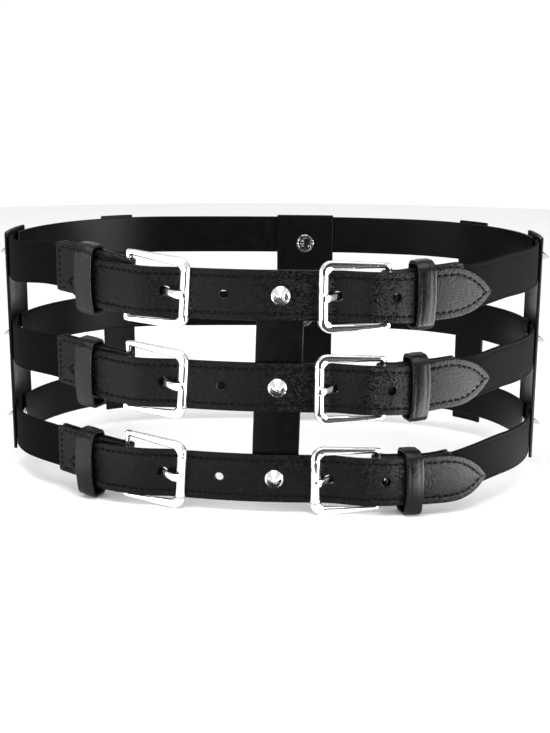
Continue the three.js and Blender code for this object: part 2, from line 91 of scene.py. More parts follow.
UPRIGHT_THICK = 1.8
UPRIGHTS = [
    {"name": "strap_front", "place": 0, "width": 23.5, "inside": True, "above": -1.5, "below": -1.5},
    {"name": "strap_side_right", "place": 180.5, "width": 35, "inside": False, "above": 2, "below": 3},
    {"name": "strap_back_right", "place": 247, "width": 19, "inside": False, "above": 1, "below": 4},
    {"name": "strap_back", "place": 350.6, "width": 34, "inside": True, "above": 1, "below": 4},
    {"name": "strap_back_left", "place": 464.7, "width": 19, "inside": False, "above": 1, "below": 4},
    {"name": "strap_side_left", "place": 552.1, "width": 35, "inside": False, "above": 2, "below": 3},
]
LAYER = CHAPE["thick"] + ELASTIC["thick"] / 2 + 2 * GAP + BILLET["thick"] / 2
OVER_PIVOT = PIVOT_BORE + CHAPE["thick"] + GAP + BILLET["thick"] / 2
CLIMB_FOOT, CLIMB_TOP, DESCENT_FROM, DESCENT_TO = -14, -3, 5, 27

# The seams: how far in from the edge they run, and the pitch, length and radius of their stitches
BILLET_SEAM, CHAPE_SEAM = 3.4, 2.2
BILLET_STITCH, CHAPE_STITCH = (3.3, 2.4, 0.44), (3.1, 2.2, 0.4)


def smooth(value, low, high):
    """Goes from 0 to 1, level at both ends."""
    t = np.clip((np.asarray(value, float) - low) / (high - low), 0, 1)
    return t * t * (3 - 2 * t)


def loop_arcs():
    """The arcs of the loop: centre, radius, first angle and how far along each starts."""
    arcs, angle, start = [], -np.pi / 2, 0.0
    for q in QUARTERS:
        run = q["width"] - q["corner"]
        broad = (run**2 + q["depth"] ** 2 - q["corner"] ** 2) / (2 * (q["depth"] - q["corner"]))
        turn = np.arctan2(run, broad - q["depth"])
        pair = [
            (q["middle"], q["y"] * (q["depth"] - broad), broad, turn),
            (q["middle"] + q["x"] * run, 0, q["corner"], np.pi / 2 - turn),
        ]
        if q["x"] == q["y"]:
            pair.reverse()
        for x, y, radius, sweep in pair:
            arcs.append((x, y, radius, angle, start))
            angle += sweep
            start += radius * sweep
    return np.array(arcs, float), start


ARCS, LENGTH = loop_arcs()

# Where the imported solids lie: the front stud of the middle row and the back of its band give the origin
low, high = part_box("stud_middle_front")
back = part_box("back_band_middle")[1].y
ORIGIN = np.array([
    (low.x + high.x) / 2 / MM,
    back / MM - QUARTERS[1]["depth"] - BAND["thick"] / 2,
    (low.z + high.z) / 2 / MM + FALL,
])


def row_rise(place, row):
    """How far the straps under the billet rise above their front middle."""
    rises = []
    for sag, slopes, lift in ((SAG_LEFT, LIFT_LEFT, row["lift"][0]), (SAG_RIGHT, LIFT_RIGHT, row["lift"][1])):
        away = np.abs(place)
        lifted = smooth(away, *slopes[:2]) - smooth(away, *slopes[2:])
        rises.append(FALL * smooth(away, *sag) + lift * lifted)
    return np.where(place < 0, *rises)


def billet_rise(place, row):
    """How far a row's billet rises above its middle."""
    height, until = row["left"]
    side, tip = row["right"]
    right = side * smooth(place, RISE_RIGHT, RISE_RIGHT_END)
    right = right + (tip - side) * smooth(place, RISE_RIGHT_END, row["right_tip"])
    return np.where(place < 0, height * smooth(-place, RISE_LEFT, until), right)


def buckle_rise(place, row):
    """The buckles keep one height, whatever the straps do beside them."""
    return 0 * place


def keeper_rise(place, row):
    """The keepers sit between the straps that they hold together."""
    under, front = row_rise(place, row), billet_rise(place, row)
    left = np.minimum(under - KEEPER["play"], front + KEEPER["play"])
    return np.where(place < 0, left, (under + front) / 2 - row["hang"])


def row_frame(place, row, rise=row_rise):
    """The point of the loop and its outward direction at a place along it."""
    place = np.atleast_1d(np.asarray(place, float))
    nearest = (place + LENGTH / 2) % LENGTH - LENGTH / 2
    lean = LEAN_EACH * row["level"] * (1 - smooth(np.abs(nearest), LEAN_FROM, LEAN_TO))
    s = (place + lean) % LENGTH
    arc = ARCS[np.searchsorted(ARCS[:, 4], s, side="right") - 1]
    angle = arc[:, 3] + (s - arc[:, 4]) / arc[:, 2]
    out = np.stack([np.cos(angle), np.sin(angle), 0 * angle], 1)
    level = row["level"] - FALL + rise(nearest, row)
    point = np.stack([arc[:, 0], arc[:, 1], level], 1) + out * arc[:, 2:3]
    return point + ORIGIN, out


def on_row(place, up, out, row, rise=row_rise):
    """Points in metres from the place along a row, the height and the way out."""
    place, up, out = np.broadcast_arrays(
        np.asarray(place, float), np.asarray(up, float), np.asarray(out, float)
    )
    shape = place.shape
    point, away = row_frame(place.ravel(), row, rise)
    point = point + away * out.ravel()[:, None]
    point[:, 2] += up.ravel()
    return point.reshape(*shape, 3) * MM


def squared(t, wave, power):
    """A round section drawn out towards a square as the power falls from one."""
    return np.sign(wave(t)) * np.abs(wave(t)) ** power


def askew(side, along, across):
    """Turns a buckle in its own plane, as it sits on the belt."""
    slope = side["raise"] / FRAME["far_bar"]
    place = side["pivot"] + side["toward"] * (along + slope * across)
    return place, side["raise"] - slope * along + across


def in_side(side, along, across, out, row):
    """Points from a buckle's own axes, along the strap from its pivot bar."""
    place, up = askew(side, along, across)
    return on_row(place, up, out, row, buckle_rise)


def billet_out(place):
    """How far out the middle of a billet lies, over the pivot bars and down to its tips."""
    place = np.asarray(place, float)
    total = 0
    for side, here in zip(SIDES, (place < 0, place >= 0)):
        along = (place - side["pivot"]) * side["toward"]
        hump = LAYER + (OVER_PIVOT - LAYER) * smooth(along, CLIMB_FOOT, CLIMB_TOP)
        past = (side["tab_end"] - place) * side["toward"]
        level = hump * (1 - smooth(along, DESCENT_FROM, DESCENT_TO))
        level = level - BILLET["drop"] * smooth(past, 0, BILLET["tip"])
        total = total + np.where(here, level, 0)
    return total


# Materials
def tree_of(name):
    material = bpy.data.materials.new(name)
    material.use_nodes = True
    return material, material.node_tree, material.node_tree.nodes["Principled BSDF"]


def add_node(tree, kind, links=(), **values):
    node = tree.nodes.new(kind)
    for key, value in values.items():
        if hasattr(node, key):
            setattr(node, key, value)
        else:
            node.inputs[key.replace("_", " ")].default_value = value
    for socket, source in dict(links).items():
        tree.links.new(source, node.inputs[socket])
    return node


def math_node(tree, operation, first, second=None, third=None):
    node = tree.nodes.new("ShaderNodeMath")
    node.operation = operation
    for i, value in enumerate((first, second, third)):
        if value is None:
            continue
        if isinstance(value, (int, float)):
            node.inputs[i].default_value = value
        else:
            tree.links.new(value, node.inputs[i])
    return node.outputs[0]


def remap(tree, value, low, high, to_low, to_high):
    node = tree.nodes.new("ShaderNodeMapRange")
    node.interpolation_type = "SMOOTHSTEP"
    for key, number in zip(("From Min", "From Max", "To Min", "To Max"), (low, high, to_low, to_high)):
        node.inputs[key].default_value = number
    tree.links.new(value, node.inputs["Value"])
    return node.outputs["Result"]


def grey(tree, value, dark, light):
    node = tree.nodes.new("ShaderNodeMix")
    node.data_type = "RGBA"
    node.inputs["A"].default_value = (*dark, 1)
    node.inputs["B"].default_value = (*light, 1)
    tree.links.new(value, node.inputs["Factor"])
    return node.outputs["Result"]


def object_points(tree):
    coordinates = tree.nodes.new("ShaderNodeTexCoord")
    scale = tree.nodes.new("ShaderNodeVectorMath")
    scale.operation = "SCALE"
    scale.inputs["Scale"].default_value = 1 / MM
    tree.links.new(coordinates.outputs["Object"], scale.inputs[0])
    return scale.outputs[0]


def noise(tree, points, scale, detail):
    node = add_node(tree, "ShaderNodeTexNoise", {"Vector": points}, Scale=scale, Detail=detail, Roughness=0.5)
    return node.outputs["Fac"]


def bump(tree, bsdf, height, distance):
    node = add_node(tree, "ShaderNodeBump", {"Height": height}, Distance=distance * MM, Strength=1.0)
    tree.links.new(node.outputs["Normal"], bsdf.inputs["Normal"])


def colour(tree, bsdf, tone, dark, light):
    tree.links.new(grey(tree, tone, dark, light), bsdf.inputs["Base Color"])


def roughness(tree, bsdf, patches, low, high):
    tree.links.new(remap(tree, patches, 0.3, 0.7, low, high), bsdf.inputs["Roughness"])


def leather(name, shades, grain, rough, level):
    """Pebbled leather. The grain is the size of its pebbles and the depth between them."""
    material, tree, bsdf = tree_of(name)
    points = object_points(tree)
    cell, depth = grain
    cells = add_node(tree, "ShaderNodeTexVoronoi", {"Vector": points}, feature="F1", Scale=1 / cell)
    pebble = remap(tree, cells.outputs["Distance"], 0, 0.75, 1, 0)
    waves = math_node(tree, "MULTIPLY", noise(tree, points, 0.45 / cell, 2), 0.35)
    bump(tree, bsdf, math_node(tree, "ADD", pebble, waves), depth)
    broad = noise(tree, points, 0.05, 3)
    tone = math_node(tree, "MULTIPLY_ADD", pebble, 0.35, math_node(tree, "MULTIPLY", broad, 0.6))
    colour(tree, bsdf, tone, *shades)
    roughness(tree, bsdf, noise(tree, points, 0.25, 4), *rough)
    bsdf.inputs["Specular IOR Level"].default_value = level
    return material


def woven(name):
    """Fine woven cloth, its threads laid out along the strap."""
    material, tree, bsdf = tree_of(name)
    uv = tree.nodes.new("ShaderNodeUVMap")
    uv.uv_map = "strap"
    split = add_node(tree, "ShaderNodeSeparateXYZ", {"Vector": uv.outputs["UV"]})
    across = math_node(tree, "SINE", math_node(tree, "MULTIPLY", split.outputs["Y"], 9.0))
    along = math_node(tree, "SINE", math_node(tree, "MULTIPLY", split.outputs["X"], 7.0))
    weave = math_node(tree, "MULTIPLY", across, along)
    fuzz = noise(tree, object_points(tree), 3.0, 2)
    height = math_node(tree, "MULTIPLY_ADD", weave, 0.4, fuzz)
    bump(tree, bsdf, height, 0.12)
    tone = remap(tree, height, 0.1, 0.9, 0, 1)
    colour(tree, bsdf, tone, (0.0008, 0.0008, 0.0008), (0.0045, 0.0045, 0.0047))
    bsdf.inputs["Roughness"].default_value = 0.75
    bsdf.inputs["Specular IOR Level"].default_value = 0.03
    bsdf.inputs["Sheen Weight"].default_value = 0.01
    bsdf.inputs["Sheen Roughness"].default_value = 0.4
    return material


def metal(name, shade, rough, wobble):
    material, tree, bsdf = tree_of(name)
    points = object_points(tree)
    bsdf.inputs["Metallic"].default_value = 1
    colour(tree, bsdf, noise(tree, points, 0.35, 2), tuple(c * 0.93 for c in shade), shade)
    roughness(tree, bsdf, noise(tree, points, 0.8, 3), *rough)
    bump(tree, bsdf, noise(tree, points, 0.5, 1), wobble)
    return material


def plain_noise(name, dark, light, rough, scale):
    material, tree, bsdf = tree_of(name)
    colour(tree, bsdf, noise(tree, object_points(tree), scale, 3), dark, light)
    bsdf.inputs["Roughness"].default_value = rough
    return material


BLACK = (0.0003, 0.0003, 0.0003), (0.0018, 0.0018, 0.0019)
SOFT_BLACK = (0.0004, 0.0004, 0.0004), (0.0016, 0.0016, 0.0017)
LEATHER = leather("grained_leather", BLACK, (0.8, 0.17), (0.24, 0.3), 0.12)
POLISHED = leather("keeper_leather", BLACK, (0.75, 0.05), (0.26, 0.34), 0.22)
SMOOTH = leather("smooth_band", SOFT_BLACK, (0.6, 0.03), (0.28, 0.38), 0.1)
WEAVE = woven("woven_elastic")
CHROME = metal("bright_metal", (0.92, 0.925, 0.93), (0.05, 0.12), 0.03)
SMOKED = metal("smoked_metal", (0.16, 0.16, 0.165), (0.06, 0.12), 0.01)
THREAD = plain_noise("waxed_thread", (0.001, 0.001, 0.001), (0.006, 0.006, 0.006), 0.5, 2.0)
THREAD.node_tree.nodes["Principled BSDF"].inputs["Specular IOR Level"].default_value = 0.04


# Meshes
SHARP = 40


def finish_mesh(name, points, faces, material, uv=None, sharp=SHARP):
    mesh = bpy.data.meshes.new(name)
    mesh.from_pydata(np.asarray(points).reshape(-1, 3).tolist(), [], faces)
    work = bmesh.new()
    work.from_mesh(mesh)
    bmesh.ops.recalc_face_normals(work, faces=work.faces)
    work.to_mesh(mesh)
    work.free()
    if uv is not None:
        vertex = np.zeros(len(mesh.loops), int)
        mesh.loops.foreach_get("vertex_index", vertex)
        layer = mesh.uv_layers.new(name="strap")
        layer.data.foreach_set("uv", np.asarray(uv, float).reshape(-1, 2)[vertex].ravel())
    mesh.materials.append(material)
    mesh.shade_smooth()
    mesh.set_sharp_from_angle(angle=np.radians(sharp))
    piece = bpy.data.objects.new(name, mesh)
    bpy.context.scene.collection.objects.link(piece)
    return piece


def loft_faces(n, m, closed=False):
    index = np.arange(n * m).reshape(n, m)
    if closed:
        index = np.vstack([index, index[:1]])
    beside = np.roll(index, -1, axis=1)
    faces = np.stack([index[:-1], beside[:-1], beside[1:], index[1:]], -1).reshape(-1, 4).tolist()
    if not closed:
        faces += [index[0][::-1].tolist(), index[-1].tolist()]
    return faces


def loft(name, rings, material, closed=False, uv=None, sharp=SHARP):
    n, m = rings.shape[:2]
    return finish_mesh(name, rings, loft_faces(n, m, closed), material, uv, sharp)


def place_piece(piece, slot, *nodes):
    """Hides the solids that a piece stands for and attaches it to the root body. The slot is not used."""
    if nodes:
        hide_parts(*nodes)
    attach(piece, "root")


def mark(side, row):
    return f"{row['name']}_{side['name']}"


def carve(piece, cutters):
    """Takes the cutters away from a piece, and keeps its faces' places along the strap."""
    for cutter in cutters:
        tool = piece.modifiers.new("cut", "BOOLEAN")
        tool.operation, tool.solver, tool.object = "DIFFERENCE", "EXACT", cutter
    bpy.context.view_layer.update()
    seen = piece.evaluated_get(bpy.context.evaluated_depsgraph_get())
    mesh = bpy.data.meshes.new_from_object(seen)
    piece.modifiers.clear()
    old, piece.data = piece.data, mesh
    mesh.name = piece.name
    bpy.data.meshes.remove(old)
    for cutter in cutters:
        bpy.data.objects.remove(cutter)
    while len(mesh.materials) > 1:
        mesh.materials.pop()
    mesh.shade_smooth()
    mesh.set_sharp_from_angle(angle=np.radians(SHARP))


EDGE_TURNS = np.radians([22.5, 45, 67.5, 90, 112.5, 135, 157.5])
MIDDLE_OF_FACE = 99


def strap_rings(places, width_at, insets, thick, point, radius=0.7, relief=None, out=None):
    """Rings of a flat strap with rounded edges and ends. width_at gives the across of the line that runs
    an inset in from the edge, and relief the height of the face there."""
    places = np.asarray(places, float)
    n = len(places)
    reach = np.minimum(places - places[0], places[-1] - places)
    fade = np.sqrt(np.clip(1 - (1 - np.minimum(reach / radius, 1)) ** 2, 0.15, 1))
    insets = np.asarray(sorted(insets, reverse=True), float)
    across = np.stack([np.zeros(n)] + [width_at(places, e) for e in insets], 1)
    floor = 0.01 * np.arange(across.shape[1])
    across = np.maximum(across - ((1 - fade) * radius)[:, None] * np.linspace(0, 1, across.shape[1]), floor)
    raised = np.array([relief(e) if relief else 0 for e in [MIDDLE_OF_FACE, *insets]])
    face = (thick / 2 + raised)[None] * fade[:, None]
    last = across[:, -1:]
    arc_across = last + radius * np.sin(EDGE_TURNS)[None] ** 0.75 * np.minimum(1, last / radius)
    arc_out = thick / 2 * squared(EDGE_TURNS, np.cos, 0.75)[None] * fade[:, None]
    a = np.hstack([across, arc_across, across[:, ::-1]])
    a = np.hstack([a, -across[:, 1:], -arc_across[:, ::-1], -across[:, :0:-1]])
    v = np.hstack([face, arc_out, -face[:, ::-1], -face[:, 1:], arc_out[:, ::-1], face[:, :0:-1]])
    p = np.repeat(places[:, None], a.shape[1], 1)
    middle = 0 if out is None else out(places)[:, None]
    return point(p, a, v + middle), np.stack([p, a], -1)


def straight_edges(half):
    return lambda places, inset: half - inset + 0 * places


ROUNDED_END = 0.7


def stations(low, high, step):
    """Places along a strap, closer together where its ends round off."""
    count = max(2, int(np.ceil((high - low) / step)))
    inner = np.linspace(low, high, count + 1)
    near = np.array([0.15, 0.4, 0.7, 1.0]) * ROUNDED_END
    inner = inner[(inner > low + ROUNDED_END * 1.2) & (inner < high - ROUNDED_END * 1.2)]
    return np.concatenate([[low], low + near, inner, (high - near)[::-1], [high]])


def thread(name, runs, stitch):
    """Stitches along runs of points with normals: each is a short round thread, half sunk at its ends."""
    pitch, length, radius = (size * MM for size in stitch)
    points, faces = [], []
    bend = np.array([-0.5, -0.42, -0.2, 0.2, 0.42, 0.5])
    lift = np.array([-0.75, -0.15, 0.15, 0.15, -0.15, -0.75])
    girth = np.array([0.5, 0.85, 1, 1, 0.85, 0.5])
    turns = np.linspace(0, 2 * np.pi, 7)[:-1]
    for line, normal in runs:
        step = np.linalg.norm(np.diff(line, axis=0), axis=1)
        s = np.concatenate([[0], np.cumsum(step)])
        count = int(s[-1] / pitch)
        if count < 1:
            continue
        first = (s[-1] - (count - 1) * pitch) / 2
        for k in range(count):
            at = first + k * pitch + bend * length
            p = np.stack([np.interp(at, s, line[:, i]) for i in range(3)], 1)
            n = np.stack([np.interp(at, s, normal[:, i]) for i in range(3)], 1)
            n /= np.linalg.norm(n, axis=1, keepdims=True)
            t = np.gradient(p, axis=0)
            t /= np.linalg.norm(t, axis=1, keepdims=True)
            b = np.cross(t, n)
            middle = p + n * (lift * radius)[:, None]
            ring = middle[:, None] + radius * girth[:, None, None] * (
                b[:, None] * np.cos(turns)[None, :, None] + n[:, None] * np.sin(turns)[None, :, None])
            base = len(points) * len(bend) * len(turns)
            points.append(ring.reshape(-1, 3))
            faces += [[base + v for v in f] for f in loft_faces(*ring.shape[:2])]
    return finish_mesh(name, np.vstack(points), faces, THREAD, sharp=60)


def ogive(from_tip, inset=0.0):
    """Half a billet's width near its pointed tip, less an inset."""
    half = BILLET["width"] / 2
    radius = (BILLET["tip"] ** 2 + half**2) / (2 * half)
    behind = BILLET["tip"] - np.clip(from_tip, 0.15, BILLET["tip"])
    return half - radius + np.sqrt(np.maximum((radius - inset) ** 2 - behind**2, (radius - half) ** 2))


HOLE_TURNS = np.linspace(0, 2 * np.pi, 25)[:-1]


def billet(row):
    """The leather strap through both buckles of a row, with its grooves, holes and stitches."""
    left, right = BILLET["left"], row["right_tip"]
    tip = np.array([0, 0.12, 0.35, 0.7, 1.2, 2])
    inner = np.arange(left + 3.2, right - 3.2, 1.3)
    places = np.concatenate([left + tip, inner, (right - tip)[::-1]])

    def width_at(place, inset):
        return ogive(np.minimum(place - left, right - place), inset)

    def relief(inset):
        groove = -0.28 * np.exp(-(((inset - BILLET_SEAM) / 0.45) ** 2))
        return groove + 0.12 * (1 - np.exp(-max(inset - BILLET_SEAM, 0) / 3))

    rings, uv = strap_rings(
        places, width_at, [0.7, 1.5, 2.5, 2.9, 3.15, 3.4, 3.65, 3.9, 4.5, 6, 8.5], BILLET["thick"],
        lambda p, a, v: on_row(p, a, v, row, billet_rise), relief=relief, out=billet_out)
    piece = loft(f"leather_billet_{row['name']}", rings, LEATHER, uv=uv)
    cutters = []
    face = BILLET["thick"] / 2 + 0.1
    half_flare = [(face - 0.35, 0), (face, 0.45), (face + 3, 0.6)]
    flared = [(-out, more) for out, more in reversed(half_flare)] + half_flare
    for place in FREE_HOLES:
        middle = float(billet_out(place))
        rings = []
        for out, more in flared:
            radius = FREE_HOLE_RADIUS + more
            along, across = place + radius * np.cos(HOLE_TURNS), radius * np.sin(HOLE_TURNS)
            rings.append(on_row(along, across, middle + out, row, billet_rise))
        cutters.append(loft("cutter", np.stack(rings), LEATHER))
    for side in SIDES:
        half = USED_HOLE / 2
        along = side["hole"] + half + half * squared(HOLE_TURNS, np.cos, 0.75)
        across = half * squared(HOLE_TURNS, np.sin, 0.75)
        rings = np.stack([in_side(side, along, across, out, row) for out in (-6, 9)])
        cutters.append(loft("cutter", rings, LEATHER))
    carve(piece, cutters)
    place_piece(piece, "leather", f"billet_{row['name']}")

    # Stitches follow the edge at one distance, round both tips, on both faces
    runs = []
    s = np.arange(left + 3.9, right - 3.9, 0.5)
    across = width_at(s, BILLET_SEAM)
    for sign in (1, -1):
        for face in (1, -1):
            v = billet_out(s) + face * (BILLET["thick"] / 2 - 0.05)
            line = on_row(s, sign * across, v, row, billet_rise)
            normal = face * row_frame(s, row)[1]
            runs.append((line, normal))
    place_piece(thread(f"stitches_billet_{row['name']}", runs, BILLET_STITCH), "leather")


def chape_points(side, row, x, y, nx, ny, up, v):
    """Points of the buckle strap, which turns with the pivot bar."""
    straight = side["pivot"] + side["toward"] * (x + nx * v)
    at_pivot = row_rise(np.array(float(side["pivot"])), row)
    slanted = askew(side, x + nx * v, up + at_pivot - side["raise"])[0]
    blend = smooth(x, CHAPE["slant"], 0)
    return on_row(straight + (slanted - straight) * blend, up, y + ny * v, row)


def chape(side, row):
    """The buckle strap, folded round the pivot bar and stitched."""
    back_end = -abs(side["tab_end"] - side["pivot"])
    layer = ELASTIC["thick"] / 2 + GAP + CHAPE["thick"] / 2
    bend = PIVOT_BORE + CHAPE["thick"] / 2
    slant = CHAPE["slant"]
    straight = stations(back_end, slant, 2)
    straight = np.concatenate([straight[straight < slant - 1.5], np.arange(slant, -3, 1.2)])
    turns = np.radians(np.linspace(CHAPE["turn"], -CHAPE["turn"], 21))
    x = np.concatenate([straight, bend * np.cos(turns), straight[::-1]])
    y = np.concatenate([0 * straight + layer, bend * np.sin(turns), 0 * straight - layer])
    nx = np.concatenate([0 * straight, np.cos(turns), 0 * straight])
    ny = np.concatenate([0 * straight + 1, np.sin(turns), 0 * straight - 1])
    half = CHAPE["width"] / 2
    path = np.concatenate([[0], np.cumsum(np.hypot(np.diff(x), np.diff(y)))])

    def width_at(s, inset):
        end = np.minimum(s, path[-1] - s)
        corner = 1.6
        cut = np.where(end < corner, corner - np.sqrt(np.maximum(corner**2 - (corner - end) ** 2, 0)), 0)
        return half - inset - cut

    def relief(inset):
        return -0.12 * np.exp(-(((inset - CHAPE_SEAM) / 0.35) ** 2))

    def point(s, up, v):
        k = np.repeat(np.arange(len(path))[:, None], s.shape[1], 1)
        return chape_points(side, row, x[k], y[k], nx[k], ny[k], up, v)

    rings, uv = strap_rings(
        path, width_at, [0.6, 1.3, 1.8, 2.0, 2.2, 2.4, 2.7, 4.5, 8], CHAPE["thick"], point, 0.6, relief)
    name = mark(side, row)
    piece = loft(f"leather_chape_{name}", rings, LEATHER, uv=uv)
    slot_half = CHAPE["slot_half"]
    reach = bend + CHAPE["thick"] + 2
    rounded = CHAPE["slot_end"] + slot_half + slot_half * np.cos(HOLE_TURNS)
    along = np.where(np.cos(HOLE_TURNS) > 0, reach, rounded)
    across = slot_half * np.sin(HOLE_TURNS)
    rings = np.stack([in_side(side, along, across, out, row) for out in (-9, 9)])
    carve(piece, [loft("cutter", rings, LEATHER)])
    place_piece(piece, "leather", f"chape_{name}")
    runs = []
    s = np.arange(back_end + 2.4, slant - 1, 0.5)
    for face in (1, -1):
        v = face * (layer + CHAPE["thick"] / 2 - 0.04)
        for sign in (1, -1):
            place = side["pivot"] + side["toward"] * s
            runs.append((on_row(place, sign * (half - CHAPE_SEAM), v, row), face * row_frame(place, row)[1]))
        across = np.linspace(2.6 - half, half - 2.6, 30)
        place = side["pivot"] + side["toward"] * (back_end + CHAPE_SEAM)
        runs.append((on_row(place, across, v, row), np.repeat(face * row_frame(place, row)[1], 30, 0)))
    place_piece(thread(f"stitches_chape_{name}", runs, CHAPE_STITCH), "leather")


def keeper_path(half, under, over):
    """The middle line of a keeper's wall in up and out, with its outward normals."""
    corner, top, offset = KEEPER["corner"], KEEPER["top_corner"], KEEPER["thick"] / 2
    points, normals = [], []
    for up, face, radius, start in ((1, over, top, 0), (-1, over, corner, 90), (-1, under, corner, 180),
                                    (1, under, corner, 270)):
        inward = -radius if face == over else radius
        for t in np.radians(np.linspace(start, start + 90, 9)):
            points.append((up * (half - radius) + (radius + offset) * np.cos(t),
                           face + inward + (radius + offset) * np.sin(t)))
            normals.append((np.cos(t), np.sin(t)))
    return np.array(points), np.array(normals)


def refine(points, normals, step):
    """Adds points on the long sides of a closed path."""
    new_points, new_normals = [], []
    for i in range(len(points)):
        j = (i + 1) % len(points)
        count = max(1, int(np.linalg.norm(points[j] - points[i]) / step))
        for k in range(count):
            new_points.append(points[i] + (points[j] - points[i]) * k / count)
            new_normals.append(normals[i] + (normals[j] - normals[i]) * k / count)
    return np.array(new_points), np.array(new_normals)


def keeper(side, row):
    """The leather loop round the straps, with a crease along both edges."""
    under = -(ELASTIC["thick"] / 2 + GAP + CHAPE["thick"] + KEEPER["room"])
    over = LAYER + BILLET["thick"] / 2 + KEEPER["room"]
    half, thick = side["keeper_half"], KEEPER["thick"]
    path, normal = refine(*keeper_path(half, under, over), 1.6)
    edge = side["keeper_width"] / 2
    rounded = 0.6
    flat = edge - rounded
    bow = rounded * np.sin(EDGE_TURNS) ** 0.8
    round_off = thick / 2 * squared(EDGE_TURNS, np.cos, 0.8)
    front, back = np.linspace(-flat, flat, 13), np.linspace(flat, -flat, 7)
    z = np.concatenate([front, flat + bow, back, -flat - bow])
    v = np.concatenate([0 * front + thick / 2, round_off, 0 * back - thick / 2, -round_off])
    crease = -0.14 * np.exp(-(((np.abs(z) - edge + 1.9) / 0.35) ** 2)) + 0.2 * (1 - (z / edge) ** 2)
    v = v + crease * (v > thick * 0.45)
    x = path[:, None, 0] + normal[:, None, 0] * v[None]
    y = path[:, None, 1] + normal[:, None, 1] * v[None]
    share = np.clip((y - under) / (over - under), 0, 1)
    y = y + KEEPER["swell"] * share * np.maximum(0, 1 - (x / half) ** 2)
    zz = np.repeat(z[None], len(path), 0)
    lean = side["lean"] * (y - under) / (over - under)
    rings = on_row(side["keeper"] + zz + lean, x, y, row, keeper_rise)
    name = mark(side, row)
    piece = loft(f"leather_keeper_{name}", rings, POLISHED, closed=True, uv=np.stack([zz, x], -1))
    place_piece(piece, "leather", f"keeper_{name}")


METAL_SHARP = 50


def buckle_matrix(side, row):
    """The axes of a buckle, from its pivot bar to its far bar."""
    pivot = on_row(side["pivot"], side["raise"], 0, row, buckle_rise)
    far = on_row(side["pivot"] + side["toward"] * FRAME["far_bar"], 0, ROLLER_OUT, row, buckle_rise)
    x = (far - pivot) / np.linalg.norm(far - pivot)
    up = np.array([0, 0, 1.0])
    y = up - x * x[2]
    y /= np.linalg.norm(y)
    z = np.cross(x, y) * (1 if side["toward"] > 0 else -1)
    return np.stack([x, y, z]), pivot


def in_buckle(points, side, row):
    turn, pivot = buckle_matrix(side, row)
    return points @ turn * MM + pivot


def section(outer, inner, thick, square):
    """A rounded section between two points of the frame's plan."""
    middle, half = (outer + inner) / 2, (outer - inner) / 2
    t = np.linspace(0, 2 * np.pi, 17)[:-1]
    plan = middle[None] + half[None] * squared(t, np.cos, square)[:, None]
    return np.column_stack([plan, thick / 2 * squared(t, np.sin, square)])


def buckle_frame(side, row):
    """The frame, from the pivot bar round the far bar and back."""
    f = FRAME
    half = ROLLER["length"] / 2 + GAP
    far, near = f["far_bar"] + f["far_half"], f["far_bar"] - f["far_half"]
    corner = f["outer_far"] - half
    outer_near, inner_near = f["outer_near"] + side["flare"], f["inner_near"] + side["flare"]
    sections = []

    def put(outer, inner, thick=f["thick"], square=0.62):
        sections.append(section(np.array(outer, float), np.array(inner, float), thick, square))

    bar = f["bar_inner"] - f["end"]
    for y in np.linspace(0, inner_near - 2.2, 6):
        put((f["end"] + 0.1, y), (f["bar_inner"], y), bar - 0.1, 1)
    put((f["end"] + 0.05, inner_near - 0.9), (f["bar_inner"] + 0.1, inner_near - 0.9), bar, 0.9)
    put((f["end"], inner_near + 0.3), (f["bar_inner"] + 0.3, inner_near - 0.3), bar, 0.8)
    put((f["end"] + 0.1, outer_near - 0.9), (f["bar_inner"] + 0.7, inner_near - 0.1), bar + 0.1, 0.72)
    put((f["end"] + 0.9, outer_near - 0.1), (f["bar_inner"] + 1.3, inner_near), bar + 0.2, 0.66)
    x_from, x_to = 2.6, near - f["inner_corner"] - 1
    for t in np.linspace(0, 1, 16):
        x = x_from + (x_to - x_from) * t
        outer = outer_near + (f["outer_far"] - outer_near) * (x / (far - corner))
        inner = inner_near + (f["inner_far"] - inner_near) * (x / (near - f["inner_corner"]))
        put((x, outer), (x, inner))
    inner_corner = np.array([near - f["inner_corner"], f["inner_far"]])
    for t in np.linspace(0, 1, 12):
        angle = np.radians(90 * (1 - t))
        outer = (far - corner + corner * np.cos(angle), half + corner * np.sin(angle))
        step = np.clip((t - 0.1) / 0.8, 0, 1)
        inner = inner_corner + (np.array([near, half]) - inner_corner) * step
        put(outer, inner, 3 + 1.6 * smooth(t, 0.2, 1), 0.62 + 0.3 * t)
    put((far, half + 0.02), (near, half + 0.02), 4.8, 0.95)
    put((far - 0.25, half - 0.1), (near + 0.25, half - 0.1), 4.4, 1)
    put((f["far_bar"] + f["rod"], half - 0.12), (f["far_bar"] - f["rod"], half - 0.12), 2 * f["rod"], 1)
    for y in (half / 2, 0):
        put((f["far_bar"] + f["rod"], y), (f["far_bar"] - f["rod"], y), 2 * f["rod"], 1)
    upper = np.array(sections)
    lower = upper[1:-1][::-1].copy()
    lower[..., 1] *= -1
    rings = in_buckle(np.concatenate([upper, lower]), side, row)
    name = mark(side, row)
    piece = loft(f"metal_frame_{name}", rings, CHROME, closed=True, sharp=METAL_SHARP)
    place_piece(piece, "hardware", f"buckle_frame_{name}")


def turned_points(profile, count):
    """A profile of radius and height turned about the height."""
    profile = np.asarray(profile, float)
    t = np.linspace(0, 2 * np.pi, count + 1)[:-1]
    return np.stack([
        profile[:, None, 0] * np.cos(t)[None], profile[:, None, 0] * np.sin(t)[None],
        np.repeat(profile[:, 1:2], count, 1)], -1)


